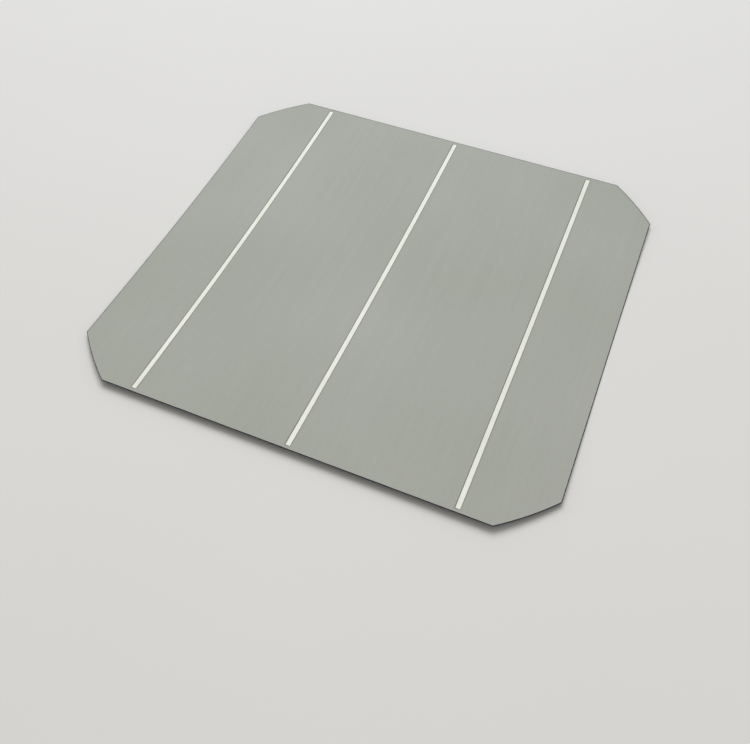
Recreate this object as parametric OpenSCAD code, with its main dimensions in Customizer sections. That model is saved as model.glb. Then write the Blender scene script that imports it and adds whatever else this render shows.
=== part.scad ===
// Crystalline silicon solar cell, bare, lying rear side up as it comes off the firing line.
// X runs across the busbars, Y along them, Z up. The sunny side faces down.

/* [Wafer] */
// side of the wafer, flat to flat
cell_size = 156; // [120:1:170]
// diameter of the ingot, which rounds the four corners
ingot_diameter = 200; // [190:1:205]
// thickness of the silicon
wafer_thickness = 0.2; // [0.12:0.01:0.4]
// height of the two lifted sides above the middle, from the pull of the fired aluminium
bow = 2; // [0:0.1:4]

/* [Busbars] */
// busbar to busbar, the same on both sides so that ribbons line up
busbar_pitch = 52; // [30:0.5:54]
// silver left bare in each slot of the rear aluminium
rear_busbar_width = 1.4; // [0.8:0.1:5]
// end of the bare rear silver to the side of the wafer
rear_busbar_setback = 1.4; // [1.2:0.1:12]
// width of a front busbar
front_busbar_width = 1.5; // [0.8:0.1:3]
// width of a front busbar at its two tips
front_tip_width = 0.6; // [0.2:0.1:0.8]
// length over which a front busbar narrows to its tip
front_tip_length = 6; // [1:0.5:15]

/* [Fingers] */
// fingers that gather current on the sunny side, an odd number
finger_count = 75; // [25:2:95]
// width of a printed finger
finger_width = 0.1; // [0.05:0.01:0.3]
// rim of the sunny side kept free of print
front_rim = 1.5; // [0.5:0.1:4]

/* [Printed layers] */
// thickness of the rear aluminium
aluminium_thickness = 0.03; // [0.025:0.005:0.08]
// thickness of the rear silver, which the aluminium laps over
rear_silver_thickness = 0.015; // [0.005:0.005:0.02]
// thickness of the front silver
front_silver_thickness = 0.02; // [0.005:0.005:0.05]
// how far the aluminium laps onto the silver around each slot
silver_lap = 0.3; // [0.1:0.05:0.6]
// rim of the rear left free of aluminium
aluminium_rim = 0.2; // [0.1:0.05:0.6]

/* [Hidden] */

$fn = 360;

// room by which a cutting shape passes what it cuts
cut_room = 1;

silicon_blue = "#0b1526";
aluminium_grey = "#a5a69f";
silver_cream = "#e6e5dc";

busbar_places = [-busbar_pitch, 0, busbar_pitch];

// the sheet is bent in narrow flats, one under each finger
finger_pitch = (cell_size - 2 * front_rim) / finger_count;
side_flats = ceil(cell_size / finger_pitch / 2 + 1);
bend_places = [for (i = [-side_flats : side_flats - 1]) (i + 0.5) * finger_pitch];

rear_face = front_silver_thickness + wafer_thickness;
rear_busbar_length = cell_size - 2 * rear_busbar_setback;
front_busbar_length = cell_size - 2 * front_rim;

// height of the bent sheet above its lowest flat, a parabola along the busbars
function rise(y) = bow * (pow(2 * y / cell_size, 2) - pow(finger_pitch / cell_size, 2));

// a sheet of one printed or sawn layer, wider than the wafer, bent along Y
module bent_sheet(height, thickness) {
  underside = [for (y = bend_places) [y, rise(y) + height]];
  top = [for (i = [len(underside) - 1 : -1 : 0]) underside[i] + [0, thickness]];
  rotate([90, 0, 90])
    linear_extrude(height = cell_size + 2 * cut_room, center = true)
      polygon(concat(underside, top));
}

// the flat shape given as child, laid onto the bent sheet at this height
module layer(height, thickness) {
  intersection() {
    translate([0, 0, height - cut_room])
      linear_extrude(height = rise(bend_places[0]) + thickness + 2 * cut_room)
        children();
    bent_sheet(height, thickness);
  }
}

// square sawn from a round ingot, drawn in by a rim
module wafer_outline(rim = 0) {
  intersection() {
    square(cell_size - 2 * rim, center = true);
    circle(d = ingot_diameter - 2 * rim);
  }
}

// rear silver as seen in its slot, or grown by the lap under the aluminium
module rear_strip(place, lap = 0) {
  translate([place, 0])
    square([rear_busbar_width + 2 * lap, rear_busbar_length + 2 * lap], center = true);
}

// front busbar with a narrow tip at each end for the ribbon to run off
module front_strip(place) {
  half_width = front_busbar_width / 2;
  half_tip = front_tip_width / 2;
  end = front_busbar_length / 2;
  shoulder = end - front_tip_length;
  translate([place, 0])
    polygon([
      [-half_tip, -end],
      [half_tip, -end],
      [half_width, -shoulder],
      [half_width, shoulder],
      [half_tip, end],
      [-half_tip, end],
      [-half_width, shoulder],
      [-half_width, -shoulder]
    ]);
}

module fingers() {
  intersection() {
    for (i = [0 : finger_count - 1])
      translate([0, (i - (finger_count - 1) / 2) * finger_pitch])
        square([cell_size, finger_width], center = true);
    wafer_outline(front_rim);
  }
}

module silicon_wafer() {
  color(silicon_blue)
    layer(front_silver_thickness, wafer_thickness)
      wafer_outline();
}

module rear_busbar(place) {
  color(silver_cream)
    layer(rear_face, rear_silver_thickness)
      rear_strip(place, silver_lap);
}

module rear_busbar_left() {
  rear_busbar(busbar_places[0]);
}

module rear_busbar_centre() {
  rear_busbar(busbar_places[1]);
}

module rear_busbar_right() {
  rear_busbar(busbar_places[2]);
}

// the aluminium lies on the silicon and laps over the edges of the silver
module rear_aluminium() {
  color(aluminium_grey)
    union() {
      layer(rear_face, rear_silver_thickness)
        difference() {
          wafer_outline(aluminium_rim);
          for (place = busbar_places)
            rear_strip(place, silver_lap);
        }
      layer(rear_face + rear_silver_thickness, aluminium_thickness - rear_silver_thickness)
        difference() {
          wafer_outline(aluminium_rim);
          for (place = busbar_places)
            rear_strip(place);
        }
    }
}

module front_grid() {
  color(silver_cream)
    layer(0, front_silver_thickness)
      union() {
        fingers();
        for (place = busbar_places)
          front_strip(place);
      }
}

silicon_wafer();
rear_aluminium();
rear_busbar_left();
rear_busbar_centre();
rear_busbar_right();
front_grid();
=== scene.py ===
"""Bare silicon solar cell, lying rear side up on a pale floor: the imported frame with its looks."""
import math

import bpy
import numpy as np
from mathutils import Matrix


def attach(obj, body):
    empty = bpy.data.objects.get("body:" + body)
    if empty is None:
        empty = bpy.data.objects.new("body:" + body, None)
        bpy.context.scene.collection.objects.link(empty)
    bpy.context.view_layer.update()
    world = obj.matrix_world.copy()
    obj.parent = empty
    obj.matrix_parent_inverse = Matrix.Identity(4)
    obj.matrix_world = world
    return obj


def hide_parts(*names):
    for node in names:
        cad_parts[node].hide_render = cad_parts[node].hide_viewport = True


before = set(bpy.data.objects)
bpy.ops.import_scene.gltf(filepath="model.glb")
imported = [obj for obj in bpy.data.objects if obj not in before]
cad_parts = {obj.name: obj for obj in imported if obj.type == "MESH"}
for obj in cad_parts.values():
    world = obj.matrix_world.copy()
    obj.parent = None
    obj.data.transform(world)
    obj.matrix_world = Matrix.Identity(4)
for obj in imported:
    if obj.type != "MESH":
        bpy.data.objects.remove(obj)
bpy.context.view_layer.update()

MM = 0.001

# sizes of the cell in mm, the same as those of the solids
CELL = 156.0
INGOT_RADIUS = 100.0
WAFER = 0.2
BOW = 2.0
BUSBAR_PITCH = 52.0
BUSBARS = {"left": -BUSBAR_PITCH, "centre": 0.0, "right": BUSBAR_PITCH}

FRONT_SILVER = 0.02
FRONT_RIM = 1.5
FRONT_BUSBAR = 1.5
FRONT_TIP = 0.6
TIP_LENGTH = 6.0
FINGERS = 75
FINGER_WIDTH = 0.1

REAR_FACE = FRONT_SILVER + WAFER
REAR_SILVER = 0.015
SLOT_WIDTH = 1.4
SLOT_SETBACK = 1.4
SLOT_END = CELL / 2 - SLOT_SETBACK
LAP = 0.3
ALUMINIUM = 0.03
ALUMINIUM_RIM = 0.2

# a print at its edge: its share of the full height there, and the run in mm over which it rises
EDGE_SHARE = 0.4
EDGE_RUN = 0.06

# the aluminium where it laps the silver: the run in mm of its step up, its least thickness there, and how
# strongly the lap shows on the right of a strip, against 1 on the left
LAP_STEP = 0.06
LEAST_LAP = 0.003
RIGHT_LAP = 0.7

# how far in mm the outline of the aluminium sits to the left, so that its rim is wider on the right
OFF_CENTRE = 0.04

# the wander of a print's edge: height and length in mm of each wave, and how far the edge's phase turns it
WANDER = np.array([[0.012, 3.7, 1.0], [0.010, 1.9, 2.3], [0.006, 11.0, 5.1]])

# phases of the aluminium's edges: its sides and ends, and the sides of its first slot, to which each further
# slot adds 1
PHASE = {"left": 1.0, "right": 9.0, "near": 3.0, "far": 4.0, "slot_left": 2.0, "slot_right": 6.0}

# distances in mm from an edge of the aluminium at which it gets a row or a column of points
SHOULDER = np.array([0.0, 0.04, 0.1, 0.2, LAP, LAP + LAP_STEP, 0.6, 1.2])

# how round a finger's back is, from 0 for flat to 1 for half an ellipse
FINGER_ROUND = 0.94

# edges of a mesh that turn by more than this many degrees stay sharp
SHARP_ANGLE = 35

# numbers of rows and columns of points
FLAT_ROWS = 251
CORNER_ROWS = 48
WAFER_COLUMNS = 25
FILL_COLUMNS = 8
STRIP_ROWS = 321
STRIP_COLUMNS = 9

# power by which the rows round the corners crowd towards the ends
CROWDING = 1.5

# sockets of a Mix node for colours, by number because its other kinds have sockets of the same names
FACTOR, A, B, MIXED = 0, 6, 7, 2


def rise(y):
    """Height of the bowed sheet over its middle: the bow times the square of y over half the side."""
    return BOW * (2 * y / CELL) ** 2


def half_width(y, rim):
    """Half the width of the outline at y: the flat side, or the ingot's circle where that is nearer."""
    return np.minimum(CELL / 2 - rim, np.sqrt((INGOT_RADIUS - rim) ** 2 - y ** 2))


def outline_rows(rim, extra=()):
    """Row places along y: even steps beside the flat sides, finer ones round the corners, which crowd towards
    the ends by a power, and the extra ones. They are rounded, so that rows at the same place become one."""
    end = CELL / 2 - rim
    corner = math.sqrt((INGOT_RADIUS - rim) ** 2 - end ** 2)
    bend = end - (end - corner) * np.linspace(0, 1, CORNER_ROWS) ** CROWDING
    rows = np.concatenate([-bend, np.linspace(-corner, corner, FLAT_ROWS), bend, extra])
    return np.unique(np.round(rows, 4))


def wander(s, phase):
    """Wander in mm of a print's edge at s along it: the sum of three sine waves, a few hundredths high. Edges
    that run side by side have different phases."""
    height, length, turn = WANDER.T[:, :, None]
    return np.sum(height * np.sin(2 * np.pi * s / length + turn * phase), axis=0)


def shoulder(distance):
    """Share of a print's full height at a distance in mm from its edge, which nears 1 exponentially."""
    return 1 - (1 - EDGE_SHARE) * np.exp(-distance / EDGE_RUN)


def closed_layer(name, x, y, top, bottom, printed):
    """One layer of the cell on a grid of rows and columns, as a closed mesh.

    x, y, top and bottom are arrays of rows by columns in mm. The upper skin lies at top and the lower one at
    bottom, both lifted by the bow. printed is true for each cell of the grid that holds material, and a wall
    closes each of its sides whose neighbour holds none. Returns the object and, for each of its points, its
    number in the two grids, where the upper one comes first.
    """
    lift = rise(y)
    skins = [np.stack([x, y, z + lift], axis=-1).reshape(-1, 3) for z in (top, bottom)]
    points = np.concatenate(skins) * MM
    count = x.size
    index = np.arange(count).reshape(x.shape)
    a, b, c, d = index[:-1, :-1], index[:-1, 1:], index[1:, 1:], index[1:, :-1]
    around = np.pad(printed, 1)
    sides = [
        (a, b, around[:-2, 1:-1]),
        (b, c, around[1:-1, 2:]),
        (c, d, around[2:, 1:-1]),
        (d, a, around[1:-1, :-2]),
    ]
    upper = np.stack([a, b, c, d], axis=-1)[printed]
    lower = np.stack([d, c, b, a], axis=-1)[printed] + count
    quads = [upper, lower]
    for p, q, neighbour in sides:
        open_side = printed & ~neighbour
        quads.append(np.stack([p + count, q + count, q, p], axis=-1)[open_side])
    used, faces = np.unique(np.concatenate(quads), return_inverse=True)
    mesh = bpy.data.meshes.new(name)
    mesh.from_pydata(points[used].tolist(), [], faces.reshape(-1, 4).tolist())
    mesh.shade_smooth()
    mesh.set_sharp_from_angle(angle=math.radians(SHARP_ANGLE))
    piece = bpy.data.objects.new(name, mesh)
    bpy.context.scene.collection.objects.link(piece)
    return piece, used


def point_attribute(piece, name, values):
    """Store one number for each point of the mesh, for a material to read."""
    attribute = piece.data.attributes.new(name, "FLOAT", "POINT")
    attribute.data.foreach_set("value", np.asarray(values, np.float32).ravel())


def wafer():
    """Silicon sheet: even columns stretched to the outline of each row, with level faces above and below."""
    rows = outline_rows(0.0)
    spread = np.linspace(-1, 1, WAFER_COLUMNS)
    x = spread[None, :] * half_width(rows, 0.0)[:, None]
    y = np.repeat(rows[:, None], spread.size, axis=1)
    top = np.full_like(x, REAR_FACE)
    bottom = np.full_like(x, FRONT_SILVER)
    printed = np.ones((rows.size - 1, spread.size - 1), bool)
    piece, point = closed_layer("silicon_sheet", x, y, top, bottom, printed)
    point_attribute(piece, "sunny_side", point >= x.size)
    return piece


def aluminium():
    """Printed sheet with three closed slots: columns follow the outline and the slots, and the cells of the
    slots stay empty. Its height falls off towards every edge, and it lifts by the silver that it laps."""
    ends = np.concatenate([-SLOT_END - SHOULDER, SLOT_END + SHOULDER])
    rims = CELL / 2 - ALUMINIUM_RIM - SHOULDER[1:]
    rows = outline_rows(ALUMINIUM_RIM, np.concatenate([ends[np.abs(ends) < rims[0]], rims, -rims]))
    reach = half_width(rows, ALUMINIUM_RIM)
    far = np.full(FILL_COLUMNS, CELL)

    def fill(left, right):
        """Columns that share out the width between two columns."""
        share = np.linspace(0, 1, FILL_COLUMNS + 2)[1:-1]
        return left[:, None] + (right - left)[:, None] * share[None, :]

    # blocks of columns, with the distance of each column from the cell's side and from the side of a slot
    columns = [(wander(rows, PHASE["left"]) - OFF_CENTRE - reach)[:, None] + SHOULDER[None, :]]
    from_side = [SHOULDER]
    across = [np.full(SHOULDER.size, CELL)]
    slot_cells = []
    for number, place in enumerate(BUSBARS.values()):
        left_edge = place - SLOT_WIDTH / 2 + wander(rows, PHASE["slot_left"] + number)
        right_edge = place + SLOT_WIDTH / 2 + wander(rows, PHASE["slot_right"] + number)
        left = left_edge[:, None] - SHOULDER[None, ::-1]
        right = right_edge[:, None] + SHOULDER[None, :]
        columns += [fill(columns[-1][:, -1], left[:, 0]), left, right]
        from_side += [far, np.full(2 * SHOULDER.size, CELL)]
        across += [far, SHOULDER[::-1], SHOULDER]
        # the slot is the one cell between the left block and the right one
        slot_cells.append(sum(block.shape[1] for block in columns) - SHOULDER.size - 1)
    last = (wander(rows, PHASE["right"]) - OFF_CENTRE + reach)[:, None] - SHOULDER[None, ::-1]
    columns += [fill(columns[-1][:, -1], last[:, 0]), last]
    from_side += [far, SHOULDER[::-1]]
    across += [far, np.full(SHOULDER.size, CELL)]

    x = np.concatenate(columns, axis=1)
    y = np.repeat(rows[:, None], x.shape[1], axis=1)
    y[0] += wander(x[0], PHASE["near"])
    y[-1] += wander(x[-1], PHASE["far"])
    printed = np.ones((rows.size - 1, x.shape[1] - 1), bool)
    beside_slot = np.abs(rows[:-1] + rows[1:]) / 2 < SLOT_END
    printed[np.ix_(beside_slot, slot_cells)] = False

    from_end = CELL / 2 - ALUMINIUM_RIM - np.abs(rows)
    beyond_slot = np.maximum(np.abs(rows) - SLOT_END, 0)
    from_rim = np.minimum(np.concatenate(from_side)[None, :], from_end[:, None])
    from_slot = np.hypot(np.concatenate(across)[None, :], beyond_slot[:, None])
    on_silver = np.clip((LAP + LAP_STEP - from_slot) / LAP_STEP, 0, 1)
    bottom = REAR_FACE + REAR_SILVER * on_silver
    top = REAR_FACE + ALUMINIUM * shoulder(np.minimum(from_rim, from_slot))
    top = np.maximum(top, bottom + LEAST_LAP)
    nearest_strip = BUSBAR_PITCH * np.round(x / BUSBAR_PITCH)
    lap_tone = on_silver * np.where(x < nearest_strip, 1.0, RIGHT_LAP)
    piece, point = closed_layer("aluminium_print", x, y, top, bottom, printed)
    point_attribute(piece, "lap_tone", lap_tone.ravel()[point % x.size])
    return piece


def rear_strip(side):
    """Flat strip of silver under its slot and the lap round it, on a plain grid."""
    half = SLOT_WIDTH / 2 + LAP
    end = SLOT_END + LAP
    places = BUSBARS[side] + np.linspace(-half, half, STRIP_COLUMNS)
    x, y = np.meshgrid(places, np.linspace(-end, end, STRIP_ROWS))
    top = np.full_like(x, REAR_FACE + REAR_SILVER)
    bottom = np.full_like(x, REAR_FACE)
    printed = np.ones((STRIP_ROWS - 1, STRIP_COLUMNS - 1), bool)
    piece, _ = closed_layer(f"rear_silver_{side}", x, y, top, bottom, printed)
    return piece


def front_print():
    """Fingers and busbars of the sunny side: five rows follow the round back of each finger, four columns the
    flat back of each busbar, which narrows to its tips, and only the cells of these are filled."""
    pitch = (CELL - 2 * FRONT_RIM) / FINGERS
    places = (np.arange(FINGERS) - (FINGERS - 1) / 2) * pitch
    across = np.array([-1, -0.6, 0, 0.6, 1])
    end = CELL / 2 - FRONT_RIM
    finger_rows = (places[:, None] + across[None, :] * FINGER_WIDTH / 2).ravel()
    arch = np.tile(np.sqrt(1 - FINGER_ROUND * across ** 2), FINGERS)
    bar_rows = np.array([-end, -end + TIP_LENGTH, end - TIP_LENGTH, end])
    order = np.argsort(np.concatenate([finger_rows, bar_rows]))
    rows = np.concatenate([finger_rows, bar_rows])[order]
    back = np.concatenate([arch, np.zeros(bar_rows.size)])[order]
    # the rows of a finger share its number, and a row that only shapes the busbars has one of its own
    finger = np.repeat(np.arange(FINGERS), across.size)
    number = np.concatenate([finger, -1 - np.arange(bar_rows.size)])[order]

    taper = np.clip((end - np.abs(rows)) / TIP_LENGTH, 0, 1)
    half = (FRONT_TIP + (FRONT_BUSBAR - FRONT_TIP) * taper) / 2
    reach = half_width(rows, FRONT_RIM)
    edge = np.maximum(back, EDGE_SHARE)
    full = np.ones_like(back)
    columns = [-reach]
    height = [back]
    bar_cells = []
    for place in BUSBARS.values():
        bar = [place - half, place - half + EDGE_RUN, place + half - EDGE_RUN, place + half]
        bar_cells += range(len(columns), len(columns) + len(bar) - 1)
        columns += bar
        height += [edge, full, full, edge]
    columns.append(reach)
    height.append(back)
    x = np.stack(columns, axis=1)
    y = np.repeat(rows[:, None], x.shape[1], axis=1)
    top = np.full_like(x, FRONT_SILVER)
    bottom = FRONT_SILVER * (1 - np.stack(height, axis=1))
    printed = np.repeat((number[:-1] == number[1:])[:, None], x.shape[1] - 1, axis=1)
    printed[:, bar_cells] = True
    piece, _ = closed_layer("front_silver", x, y, top, bottom, printed)
    return piece


def linear(colour):
    """Linear RGBA of an sRGB hex colour."""
    srgb = np.array([int(colour[i:i + 2], 16) for i in (1, 3, 5)]) / 255
    rgb = np.where(srgb <= 0.04045, srgb / 12.92, ((srgb + 0.055) / 1.055) ** 2.4)
    return (*rgb.tolist(), 1.0)


def add(tree, kind, settings, links=()):
    """Add a node. Settings are fields of the node, or values for its input sockets by name or number; links
    are pairs of input socket and the output that feeds it."""
    node = tree.nodes.new(kind)
    for key, value in settings.items():
        if isinstance(key, str) and key.islower():
            setattr(node, key, value)
        else:
            node.inputs[key].default_value = value
    for socket, output in links:
        tree.links.new(output, node.inputs[socket])
    return node


def new_material(name, settings):
    """A material with its shader's fixed values set, its node tree, and the surface point in mm."""
    material = bpy.data.materials.new(name)
    material.use_nodes = True
    tree = material.node_tree
    for socket, value in settings.items():
        tree.nodes["Principled BSDF"].inputs[socket].default_value = value
    place = add(tree, "ShaderNodeTexCoord", {})
    in_mm = add(tree, "ShaderNodeMapping", {"Scale": (1 / MM,) * 3}, [("Vector", place.outputs["Object"])])
    return material, tree, in_mm.outputs["Vector"]


def feed(tree, colour, rough, bump):
    """Lead a material's colour, roughness and bump into its shader."""
    shader = tree.nodes["Principled BSDF"]
    tree.links.new(colour.outputs[MIXED], shader.inputs["Base Color"])
    tree.links.new(rough.outputs["Result"], shader.inputs["Roughness"])
    tree.links.new(bump.outputs["Normal"], shader.inputs["Normal"])


def fired_aluminium():
    """Aluminium paste, screen printed and fired: sintered beads with an oxide skin, so matt, grey and a
    little cloudy, with only a part of bare metal's gloss."""
    material, tree, point = new_material("fired_aluminium_paste", {"Metallic": 0.2})
    # clouds from the paste's uneven lay, some 60 mm across
    clouds = add(tree, "ShaderNodeTexNoise", {"Scale": 1 / 60, "Detail": 1.0}, [("Vector", point)])
    # beads are about 0.01 mm across, drawn 0.3 mm wide so that they show
    beads = add(tree, "ShaderNodeTexNoise", {"Scale": 1 / 0.3, "Detail": 3.0, "Roughness": 0.65},
                [("Vector", point)])
    # streaks left by the squeegee along the busbars, 1.5 mm wide and 90 mm long
    stretched = add(tree, "ShaderNodeMapping", {"Scale": (1 / 1.5, 1 / 90, 1.0)}, [("Vector", point)])
    streaks = add(tree, "ShaderNodeTexNoise", {"Scale": 1.0, "Detail": 2.0},
                  [("Vector", stretched.outputs["Vector"])])
    grey = add(tree, "ShaderNodeMix", {"data_type": "RGBA", A: linear("#9c9f94"), B: linear("#aaaca5")},
               [(FACTOR, clouds.outputs["Fac"])])
    streaked = add(tree, "ShaderNodeMix", {"data_type": "RGBA", "blend_type": "OVERLAY", FACTOR: 0.04},
                   [(A, grey.outputs[MIXED]), (B, streaks.outputs["Fac"])])
    grained = add(tree, "ShaderNodeMix", {"data_type": "RGBA", "blend_type": "OVERLAY", FACTOR: 0.16},
                  [(A, streaked.outputs[MIXED]), (B, beads.outputs["Fac"])])
    # where the paste laps the silver the two alloy to a darker line, stronger and weaker by turns
    lap = add(tree, "ShaderNodeAttribute", {"attribute_name": "lap_tone"})
    uneven = add(tree, "ShaderNodeMapRange", {"From Min": 0.35, "From Max": 0.65, "To Min": 0.55},
                 [("Value", streaks.outputs["Fac"])])
    alloyed = add(tree, "ShaderNodeMath", {"operation": "MULTIPLY"},
                  [(0, lap.outputs["Fac"]), (1, uneven.outputs["Result"])])
    lapped = add(tree, "ShaderNodeMix", {"data_type": "RGBA", B: linear("#6f6f67")},
                 [(FACTOR, alloyed.outputs[0]), (A, grained.outputs[MIXED])])
    rough = add(tree, "ShaderNodeMapRange", {"To Min": 0.6, "To Max": 0.72},
                [("Value", beads.outputs["Fac"])])
    bump = add(tree, "ShaderNodeBump", {"Strength": 0.7, "Distance": 0.03 * MM},
               [("Height", beads.outputs["Fac"])])
    feed(tree, lapped, rough, bump)
    return material


def fired_silver():
    """Silver paste, screen printed and fired: fine white flakes, so matt and creamy with a soft sheen."""
    material, tree, point = new_material("fired_silver_paste", {"Metallic": 0.15})
    # tarnish comes and goes along a strip every 15 mm or so
    tarnish = add(tree, "ShaderNodeTexNoise", {"Scale": 1 / 15, "Detail": 3.0}, [("Vector", point)])
    # the screen's wires leave a weave of about 0.08 mm, drawn at 0.25 mm so that it shows
    turned = add(tree, "ShaderNodeMapping", {"Rotation": (0, 0, math.radians(22.5))}, [("Vector", point)])
    weave = add(tree, "ShaderNodeTexVoronoi",
                {"distance": "CHEBYCHEV", "Scale": 1 / 0.25, "Randomness": 0.15},
                [("Vector", turned.outputs["Vector"])])
    cream = add(tree, "ShaderNodeMix", {"data_type": "RGBA", A: linear("#e8eae2"), B: linear("#dcdcd0")},
                [(FACTOR, tarnish.outputs["Fac"])])
    woven = add(tree, "ShaderNodeMix", {"data_type": "RGBA", "blend_type": "OVERLAY", FACTOR: 0.12},
                [(A, cream.outputs[MIXED]), (B, weave.outputs["Distance"])])
    rough = add(tree, "ShaderNodeMapRange", {"To Min": 0.5, "To Max": 0.62},
                [("Value", tarnish.outputs["Fac"])])
    bump = add(tree, "ShaderNodeBump", {"Strength": 0.3, "Distance": 0.006 * MM},
               [("Height", weave.outputs["Distance"])])
    feed(tree, woven, rough, bump)
    return material


def coated_silicon():
    """Silicon etched to fine pyramids, with silicon nitride on its sunny side: light is trapped, so nearly
    black with a satin gloss, and the coating turns it dark blue."""
    material, tree, point = new_material(
        "nitride_coated_silicon",
        {"IOR": 1.5, "Specular IOR Level": 0.15, "Specular Tint": linear("#c6d2ff")})
    # the coating's thickness drifts over some 60 mm, from navy to a slightly brighter blue
    drift = add(tree, "ShaderNodeTexNoise", {"Scale": 1 / 60, "Detail": 1.5}, [("Vector", point)])
    # pyramids are a few thousandths of a mm wide, drawn at 0.3 mm so that they show
    pyramids = add(tree, "ShaderNodeTexVoronoi", {"distance": "MANHATTAN", "Scale": 1 / 0.3},
                   [("Vector", point)])
    blue = add(tree, "ShaderNodeMix", {"data_type": "RGBA", A: linear("#0a172b"), B: linear("#10264a")},
               [(FACTOR, drift.outputs["Fac"])])
    # the rear rim and the sawn sides have no coating, and stay the grey black of bare silicon
    sunny = add(tree, "ShaderNodeAttribute", {"attribute_name": "sunny_side"})
    coated = add(tree, "ShaderNodeMix", {"data_type": "RGBA", A: linear("#12151b")},
                 [(FACTOR, sunny.outputs["Fac"]), (B, blue.outputs[MIXED])])
    rough = add(tree, "ShaderNodeMapRange", {"To Min": 0.3, "To Max": 0.42},
                [("Value", pyramids.outputs["Distance"])])
    bump = add(tree, "ShaderNodeBump", {"Strength": 0.15, "Distance": 0.004 * MM},
               [("Height", pyramids.outputs["Distance"])])
    feed(tree, coated, rough, bump)
    return material


def matt_floor():
    """Matt white laminate, pressed smooth, so pale and even."""
    material, tree, point = new_material("matt_white_laminate", {"Roughness": 0.6, "Specular IOR Level": 0.2})
    # faint unevenness over some 120 mm
    haze = add(tree, "ShaderNodeTexNoise", {"Scale": 1 / 120, "Detail": 2.0}, [("Vector", point)])
    pale = add(tree, "ShaderNodeMix", {"data_type": "RGBA", A: linear("#e5e4e2"), B: linear("#e8e7e5")},
               [(FACTOR, haze.outputs["Fac"])])
    tree.links.new(pale.outputs[MIXED], tree.nodes["Principled BSDF"].inputs["Base Color"])
    return material


def dress():
    """Make each piece, give it its finish, and put it in the place of its solid."""
    silicon, grey, silver = coated_silicon(), fired_aluminium(), fired_silver()
    made = [
        (wafer(), "silicon_wafer", "coated_silicon", silicon),
        (aluminium(), "rear_aluminium", "fired_aluminium", grey),
        (front_print(), "front_grid", "fired_silver", silver),
    ]
    made += [(rear_strip(side), f"rear_busbar_{side}", "fired_silver", silver) for side in BUSBARS]
    for piece, node, slot, material in made:
        piece.data.materials.append(material)
        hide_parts(node)
        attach(piece, "root")


def pale_floor():
    """Square of floor that reaches 3 m to each side of the cell."""
    reach = 3.0
    corners = [(-reach, -reach, 0), (reach, -reach, 0), (reach, reach, 0), (-reach, reach, 0)]
    mesh = bpy.data.meshes.new("floor")
    mesh.from_pydata(corners, [], [(0, 1, 2, 3)])
    floor = bpy.data.objects.new("floor", mesh)
    floor.data.materials.append(matt_floor())
    bpy.context.scene.collection.objects.link(floor)


def lamps():
    """A window's glow that falls straight down beyond the far left, and soft daylight that slants in over
    it."""
    window = bpy.data.lights.new("window", "AREA")
    window.size = 0.8
    window.energy = 3.0
    window.color = linear("#e6efff")[:3]
    daylight = bpy.data.lights.new("daylight", "SUN")
    daylight.angle = math.radians(50)
    daylight.energy = 1.1
    daylight.color = linear("#fffefb")[:3]
    slant = (math.radians(-35), 0, math.radians(25))
    for lamp, place, turn in [(window, (-0.25, 0.6, 0.7), (0, 0, 0)), (daylight, (0, 0, 1), slant)]:
        holder = bpy.data.objects.new(lamp.name, lamp)
        holder.location = place
        holder.rotation_euler = turn
        bpy.context.scene.collection.objects.link(holder)


def surround():
    """Even light from all round. The camera and mirror images see the far floor's own pale tone instead."""
    world = bpy.data.worlds.new("surround")
    world.use_nodes = True
    tree = world.node_tree
    light = tree.nodes["Background"]
    light.inputs["Color"].default_value = linear("#fdfaf4")
    light.inputs["Strength"].default_value = 0.45
    wall = add(tree, "ShaderNodeBackground", {"Color": linear("#cfcecb"), "Strength": 1.0})
    ray = add(tree, "ShaderNodeLightPath", {})
    mirrored = add(tree, "ShaderNodeMath", {"operation": "MAXIMUM"},
                   [(0, ray.outputs["Is Glossy Ray"]), (1, ray.outputs["Is Transmission Ray"])])
    seen = add(tree, "ShaderNodeMath", {"operation": "MAXIMUM"},
               [(0, ray.outputs["Is Camera Ray"]), (1, mirrored.outputs[0])])
    mixed = add(tree, "ShaderNodeMixShader", {},
                [(0, seen.outputs[0]), (1, light.outputs[0]), (2, wall.outputs[0])])
    tree.links.new(mixed.outputs[0], tree.nodes["World Output"].inputs["Surface"])
    bpy.context.scene.world = world


def photo_camera():
    """Camera at the photo's angle, fitted to the cell's corners and strips. The picture is a crop, hence the
    shift."""
    elevation = 51.409
    azimuth = 23.966
    data = bpy.data.cameras.new("camera")
    data.sensor_width = 36.0
    data.lens = 43.63
    data.shift_x = 0.0793
    data.shift_y = 0.0007
    data.clip_start = 0.01
    camera = bpy.data.objects.new("camera", data)
    camera.location = (0.06784, -0.20917, 0.2224)
    camera.rotation_euler = (math.radians(90 - elevation), 0, math.radians(azimuth))
    bpy.context.scene.collection.objects.link(camera)
    bpy.context.scene.camera = camera


dress()
pale_floor()
lamps()
surround()
photo_camera()
bpy.context.scene.view_settings.view_transform = "Standard"
